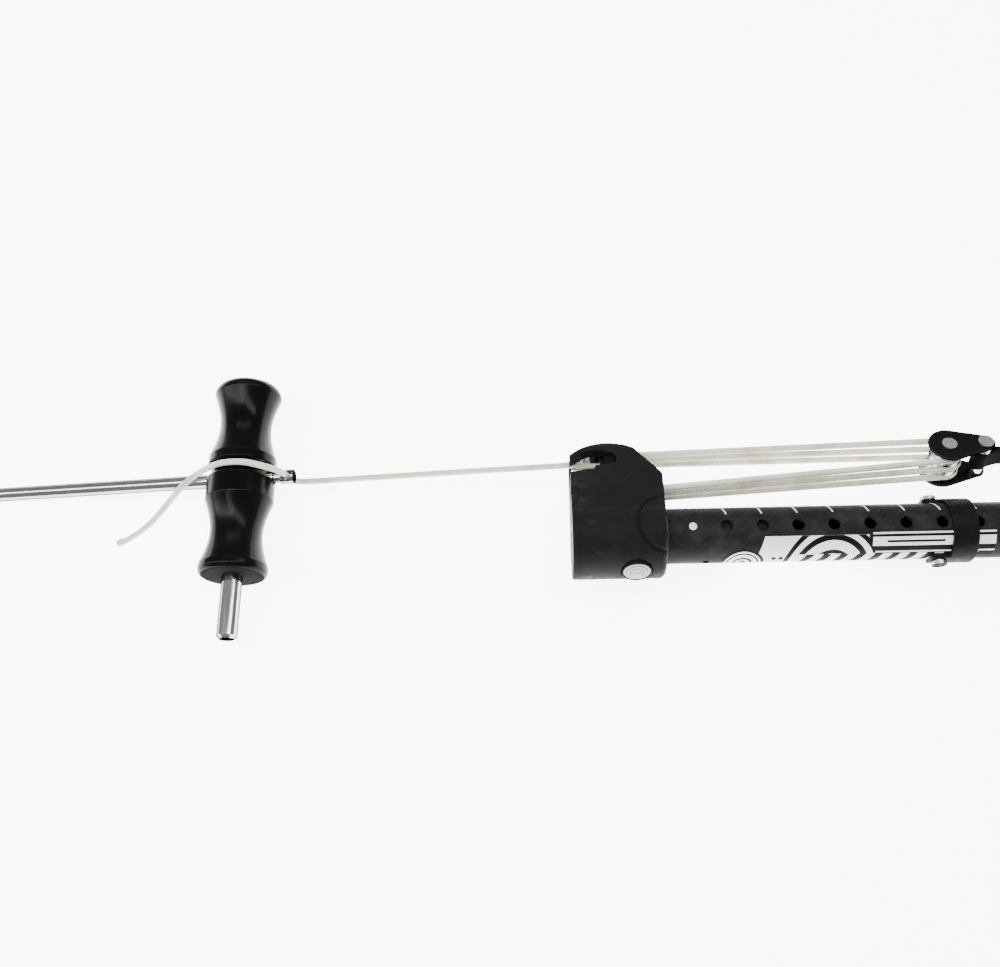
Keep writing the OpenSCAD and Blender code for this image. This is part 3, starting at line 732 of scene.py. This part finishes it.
# The line's way through the cleat and the free line's route, in mm, as part.scad has them
EXIT_ROUTE = [
    (29.4, 48.5, -7), (24, 48.4, -6.9), (18, 48, -6), (12, 47.4, -4.2), (6, 46.8, -1.8),
    (2, 46.4, 0.1), (-2, 46, 0.6),
]
LEAD_ROUTE = [
    (-2, 46, 0.6), (-13, 45.8, -0.1), (-24, 45.6, -0.7), (-36, 45.4, -1.5), (-48, 45.3, -2.2),
    (-60, 45.1, -2.9), (-72, 44.9, -3.7), (-84, 44.7, -4.4), (-96, 44.5, -5.1),
    (-108, 44.3, -5.9), (-120, 44.1, -6.6),
]
LEAD_END_ROUTE = [
    (-120, 44.1, -6.6), (-130, 43.9, -7.2), (-140, 43.8, -7.8), (-148, 43.6, -8.3),
    (-156, 43.5, -8.8), (-161, 43.5, -9), (-165, 43.5, -7.9), (-167.8, 43.5, -4.8),
    (-168.8, 43.5, -1),
]
TURN_ROUTE = [
    (-168.8, 43.5, -1), (-170, 43.8, 3.2), (-173, 44.4, 6.6), (-178, 45.3, 9.4),
    (-184, 46, 12.4), (-190, 46.5, 15), (-197.5, 46.5, 16), (-204, 46.5, 14.9),
    (-209, 46.5, 12.4),
]
TAIL_ROUTE = [
    (-209, 46.5, 12.4), (-215, 46.3, 8.2), (-221, 45.2, 4.2), (-227, 42.8, 0.9),
    (-233, 39.2, -2.4), (-239, 34.8, -7), (-246, 29.4, -12.4), (-253, 24.2, -17.2),
    (-260, 19.4, -20.6), (-267, 14.9, -22), (-276, 9.8, -22.05),
]


def in_metres(route):
    """A route's points, which are in mm, in metres."""
    return [tuple(c * MM for c in p) for p in route]


def path_length(path):
    return float(run_along(path)[-1])


def make_free_line():
    """The lead from the cleat to the handle, its end at the eye, and the turn and tail."""
    lead_path = smooth_path(in_metres(LEAD_ROUTE), LINE_STEP)
    lead = line_tube("lead", lead_path)
    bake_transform(lead)
    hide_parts("lead_line")
    end_path = smooth_path(in_metres(LEAD_END_ROUTE), LINE_STEP)
    end = line_tube("lead_to_eye", end_path, start_at=path_length(lead_path))
    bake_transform(end)
    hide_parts("lead_end")
    tail_path = smooth_path(in_metres(TURN_ROUTE + TAIL_ROUTE[1:]), LINE_STEP)
    tail = line_tube("turn_and_tail", tail_path, end_round=True)
    finish_piece(tail, "handle", ["drum_turn", "line_tail"])


make_free_line()

# The rove of the purchase, from part.scad: axles, layers and radii of the line's centre, in mm
BASE_AXLE = Vector((30.0, 35.7, 0.0))
BLOCK_AXLE = Vector((219.0, 43.5, 3.5))
BASE_ROPE_R, BLOCK_ROPE_R = 12.8, 7.8
LAYER_PITCH = 7.0
LAYERS = (LAYER_PITCH, 0.0, -LAYER_PITCH)
KNOT = (10.0, 22.3, 14.0)
DEAD_BEND = (30.0, 22.8, 14.0)
BLOCK_LEAN = math.radians(18)
RUN_ANGLE = math.atan2(BLOCK_AXLE.y - BASE_AXLE.y, BLOCK_AXLE.x - BASE_AXLE.x)
RUN_LENGTH = math.hypot(BLOCK_AXLE.x - BASE_AXLE.x, BLOCK_AXLE.y - BASE_AXLE.y)
UPPER = math.pi / 2 - math.asin((BASE_ROPE_R - BLOCK_ROPE_R) / RUN_LENGTH)
BLOCK_FRAME = (Matrix.Translation(BLOCK_AXLE) @ Matrix.Rotation(RUN_ANGLE, 4, "Z")
               @ Matrix.Rotation(-BLOCK_LEAN, 4, "X"))


def in_block(point):
    """A place in the tack block's frame, in mm, as the scene sees it."""
    return tuple((BLOCK_FRAME @ Vector(point)) * MM)


def on_block(angle, z):
    """A place on a tack block sheave's rope circle, from its angle and height."""
    return in_block((BLOCK_ROPE_R * math.cos(angle), BLOCK_ROPE_R * math.sin(angle), z))


def on_base(angle, z):
    """A place on a base sheave's rope circle, from its angle and height."""
    return ((BASE_AXLE.x + BASE_ROPE_R * math.cos(angle)) * MM,
            (BASE_AXLE.y + BASE_ROPE_R * math.sin(angle)) * MM, z * MM)


def arc_path(place, r, start, end, z):
    """The line's turn on a sheave; place is on_block or on_base."""
    count = int(abs(end - start) * r / (LINE_STEP / MM)) + 2
    return np.array([place(a, z) for a in np.linspace(start, end, count)])


def make_run(name, path, node, number):
    """One taut run."""
    piece = line_tube(name, path, start_at=LAYER_PITCH * MM * number)
    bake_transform(piece)
    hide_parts(node)


def make_runs():
    """The six taut runs, the turns on the sheaves, the fixed end and the way through the cleat."""
    dead_end = in_metres((KNOT, DEAD_BEND))
    over, under = RUN_ANGLE + UPPER, RUN_ANGLE - UPPER
    lower_starts = (dead_end[1], on_base(under, LAYERS[0]), on_base(under, LAYERS[1]))
    for i, z in enumerate(LAYERS):
        upper = straight_path(on_base(over, z), on_block(UPPER, z), LINE_STEP)
        lower = straight_path(lower_starts[i], on_block(-UPPER, z), LINE_STEP)
        make_run(f"upper_run_{i + 1}", upper, "upper_strands", i)
        make_run(f"lower_run_{i + 1}", lower, "lower_strands", i)
        turn = line_tube(f"block_turn_{i + 1}", arc_path(on_block, BLOCK_ROPE_R, -UPPER, UPPER, z))
        finish_piece(turn, "tack_block", ["block_turns"])
    for i, z in enumerate(LAYERS[:2]):
        path = arc_path(on_base, BASE_ROPE_R, over, under + 2 * math.pi, z)
        finish_piece(line_tube(f"base_turn_{i + 1}", path), "root", ["base_turns"])
    through = line_tube("line_through_cleat", smooth_path(in_metres(EXIT_ROUTE), LINE_STEP))
    finish_piece(through, "root", ["exit_line"])
    fixed = line_tube("fixed_end", straight_path(*dead_end, LINE_STEP))
    finish_piece(fixed, "root")


make_runs()


# ---------------------------------------------------------------- spring, handle and strap


def make_spring():
    """The release button's coil spring: a cone, so that its turns nest when it is pressed."""
    wire_r, wide, narrow, turns = 0.16 * MM, 5.75 * MM, 5.05 * MM, 2
    seat, low, high = 17.6 * MM, 17.8 * MM, 20.7 * MM
    wire_sides, wire_points = 12, 190
    centre, along = Vector((BUTTON_X * MM, 0, 0)), Vector((1, 0, 0))
    across = BUTTON_OUT.cross(along)
    t = np.linspace(0, 1, wire_points)
    path = np.array([
        centre + BUTTON_OUT * (low + (high - low) * share)
        + (along * math.cos(a) + across * math.sin(a)) * (wide + (narrow - wide) * share)
        for share, a in zip(t, 2 * math.pi * turns * t)
    ])
    radius = np.full((wire_points, wire_sides), wire_r)
    spring = sweep("spring_coil", path, radius, PLAIN_STEEL)
    finish_piece(spring, "root", ["button_spring"])
    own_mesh(spring)


def handle_profile():
    """Radius and height of the handle from its foot to its top, in mm, as part.scad has it."""
    rim, waist, foot, top, low, high = 20.2, 15.4, 3.5, 6.0, -18.0, 105.0
    groove, half, depth = 46.5, 4.5, 2.4
    points = [(r, low) for r in np.linspace(0.4, rim - foot, 12)]
    points += [(rim - foot + foot * math.cos(a), low + foot + foot * math.sin(a))
               for a in np.linspace(-math.pi / 2, 0, 14)[1:]]
    waists = ((-12.0, 29.0), (56.0, 98.5))
    for y in np.arange(low + foot + 0.5, high - top, 0.5):
        r = rim
        for start, end in waists:
            if start < y < end:
                r = rim - (rim - waist) * math.sin(math.pi * (y - start) / (end - start))
        into = np.clip((half + 0.3 - abs(y - groove)) / 2.2, 0, 1)
        points.append((r - depth * into * into * (3 - 2 * into), y))
    points += [(rim - top + top * math.cos(a), high - top + top * math.sin(a))
               for a in np.linspace(0, math.pi / 2, 20)]
    return points + [(r, high) for r in np.linspace(rim - top, 0.4, 12)[1:]]


def make_handle():
    """The handle's drum, turned from one piece."""
    low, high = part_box("handle_drum")
    centre_x, centre_z = (low[0] + high[0]) / 2, (low[2] + high[2]) / 2
    profile, sides = handle_profile(), 160
    vertices = [
        (centre_x + r * MM * math.cos(a), y * MM, centre_z + r * MM * math.sin(a))
        for r, y in profile for a in 2 * math.pi * np.arange(sides) / sides
    ]
    faces = []
    for i in range(len(profile) - 1):
        # The profile runs up the axis, so the faces turn the other way
        faces += [(a, d, c, b) for a, b, c, d in ring_faces(i * sides, (i + 1) * sides, sides)]
    faces.append(tuple(range(sides)))
    faces.append(tuple((len(profile) - 1) * sides + k for k in reversed(range(sides))))
    drum = mesh_object("handle_turned", vertices, faces, HANDLE)
    finish_piece(drum, "handle", ["handle_drum"])


def strap_centreline():
    """The webbing's middle, in the block's frame: round the pin, along, and round the end loop."""
    pin_r, loop_r, off_middle = 4.0, 7.1, 0.9

    def bend(centre, r, start, end):
        turns = np.radians(np.arange(start, end, 20))
        return [(centre + r * math.cos(a), r * math.sin(a)) for a in turns]

    out = [(x, -off_middle) for x in (10, 16, 24, 32, 38)]
    back = [(x, -y) for x, y in reversed(out)]
    points = bend(0, pin_r, 50, 311) + out + bend(STRAP_LEN, loop_r, -140, 141) + back
    closed = [(x + HEAD_PIN_X, y, 0) for x, y in points + points[:1]]
    return smooth_path(closed, STRAP_STEP)[:-1]


def make_strap():
    """Folded webbing: a closed band whose edges are rounded, with ribs across it."""
    middle = strap_centreline()
    count = len(middle)
    heading = np.roll(middle, -1, axis=0) - np.roll(middle, 1, axis=0)
    heading /= np.linalg.norm(heading, axis=1)[:, None]
    normal = np.stack([-heading[:, 1], heading[:, 0], np.zeros(count)], axis=1)
    widths = np.linspace(-STRAP_HALF, STRAP_HALF, 21)
    yarn_relief, rib_relief, yarn_half, edge_room, edge_power = 0.06, 0.05, 0.64, 0.12, 10
    vertices, profile = [], []
    for sign in (1, -1):
        for w in widths[::sign]:
            edge = math.sqrt(max(0.0, 1 - (abs(w) / (STRAP_HALF + edge_room)) ** edge_power))
            yarn = yarn_relief * math.cos(w * math.pi / yarn_half)
            profile.append((w, sign * (STRAP_T / 2 * edge - yarn_relief + yarn * edge)))
    for i in range(count):
        rib = rib_relief * math.cos(math.pi * i)
        for w, t in profile:
            place = middle[i] + normal[i] * (t + rib * np.sign(t)) + np.array((0, 0, w))
            vertices.append(in_block(place))
    around = len(profile)
    faces = []
    for i in range(count):
        faces += ring_faces(i * around, ((i + 1) % count) * around, around)
    strap = mesh_object("strap_webbing", vertices, faces, WEBBING)
    layer = strap.data.uv_layers.new(name="webbing")
    for corner, loop in enumerate(strap.data.loops):
        i, k = divmod(loop.vertex_index, around)
        layer.data[corner].uv = (profile[k][0], i * STRAP_STEP)
    finish_piece(strap, "tack_block", ["tack_strap"])


def make_stitches():
    """Rows of bar tacks through the folded webbing."""
    half_long, half_thick, sides, flatness = 0.75, 0.16, 8, 0.9
    off_middle, lowest, pitch = 1.72, -4.8, 1.92
    rows = (1.0, 2.6, 14.0, 15.6, 26.0)
    rings = ((-1, 0.35), (-0.7, 1), (0.7, 1), (1, 0.35))
    vertices, faces = [], []

    def add_stitch(x, y, z):
        first = len(vertices)
        for end, shrink in rings:
            for a in 2 * math.pi * np.arange(sides) / sides:
                across = half_thick * shrink * math.cos(a)
                out = flatness * half_thick * shrink * math.sin(a)
                vertices.append(in_block((x + across, y + out, z + end * half_long)))
        for ring in range(len(rings) - 1):
            faces.extend(ring_faces(first + ring * sides, first + (ring + 1) * sides, sides))
        last = first + (len(rings) - 1) * sides
        faces.append(tuple(first + k for k in range(sides - 1, -1, -1)))
        faces.append(tuple(last + k for k in range(sides)))

    for row in rows:
        for z in np.arange(lowest, 0.1 - lowest, pitch):
            for side in (1, -1):
                add_stitch(HEAD_PIN_X + row, side * off_middle, z)
    stitches = mesh_object("strap_stitches", vertices, faces, THREAD)
    finish_piece(stitches, "tack_block")


make_spring()
make_handle()
make_strap()
make_stitches()


# ---------------------------------------------------------------- CAD nodes, softened or kept

# Node, material, size of the remesh and rounds of smoothing
SOFTENED = (
    ("base_housing", HOUSING, 0.42 * MM, 6),
    ("line_cleat", CLEAT_ALLOY, 0.2 * MM, 2),
    ("release_button", BUTTON, 0.3 * MM, 3),
    ("height_collar", COLLAR_BLACK, 0.4 * MM, 4),
    ("tube_end_plug", COLLAR_BLACK, 0.4 * MM, 4),
    ("block_cheeks", CHEEK_ALLOY, 0.3 * MM, 3),
)
for softened in SOFTENED:
    soften(*softened)

KEPT = (
    (PLAIN_STEEL, ("socket_liner", "latch_plate", "sheave_axle", "axle_washers", "cleat_screws",
                   "collar_pin_front", "collar_pin_back", "block_axle", "block_head_pin")),
    (NYLON, ("base_sheave_1", "base_sheave_2", "exit_roller")),
    (POLISHED_ALLOY, ("block_spacers", "tack_sheave_1", "tack_sheave_2", "tack_sheave_3")),
    (BADGE, ("button_badge",)),
    (SPIGOT_GREY_AND_SHADE, ("tube_spigot",)),
    (CARBON, ("mast_tube",)),
    (RIVET_WHITE, ("spigot_rivets",)),
    (RING_GREY, ("tube_ring",)),
    (ROD_STEEL, ("lever_rod",)),
    (PIN_STEEL, ("foot_pin",)),
    (LINE, ("stopper_knot",)),
)
for kept_material, kept_nodes in KEPT:
    for kept_node in kept_nodes:
        NODES[kept_node].data.materials.clear()
        NODES[kept_node].data.materials.append(kept_material)


# ---------------------------------------------------------------- stage and lights


def make_stage():
    """A wide sheet of white paper, on which everything lies."""
    half = 4.0
    corners = [(-half, -half), (half, -half), (half, half), (-half, half)]
    floor = mesh_object(
        "floor", [(x, y, TABLE_Z) for x, y in corners], [(0, 1, 2, 3)], floor_paper(), smooth=False
    )


def area_light(name, place, target, size, power):
    """A rectangular light at a place, facing a target."""
    data = bpy.data.lights.new(name, "AREA")
    data.shape = "RECTANGLE"
    data.size, data.size_y = size
    data.energy = power
    light = link_object(name, data)
    light.location = place
    aim = Vector(target) - Vector(place)
    light.rotation_euler = aim.to_track_quat("-Z", "Y").to_euler()


def make_lights():
    """A pale room, two long strips that draw the round parts' shine, and a soft top light."""
    world = bpy.data.worlds.new("studio")
    bpy.context.scene.world = world
    world.use_nodes = True
    sky = world.node_tree.nodes["Background"]
    sky.inputs["Color"].default_value = (0.9, 0.93, 1.0, 1)
    sky.inputs["Strength"].default_value = 0.5
    area_light("left_strip", (-1.0, 0.0, 0.9), (-0.15, 0, 0), (0.22, 2.0), 21)
    area_light("right_strip", (0.03, 0.05, 1.1), (-0.1, 0, 0), (0.2, 2.0), 17)
    area_light("top", (-0.1, 1.2, 1.4), (-0.05, 0, 0), (1.8, 0.4), 9)


make_stage()
make_lights()
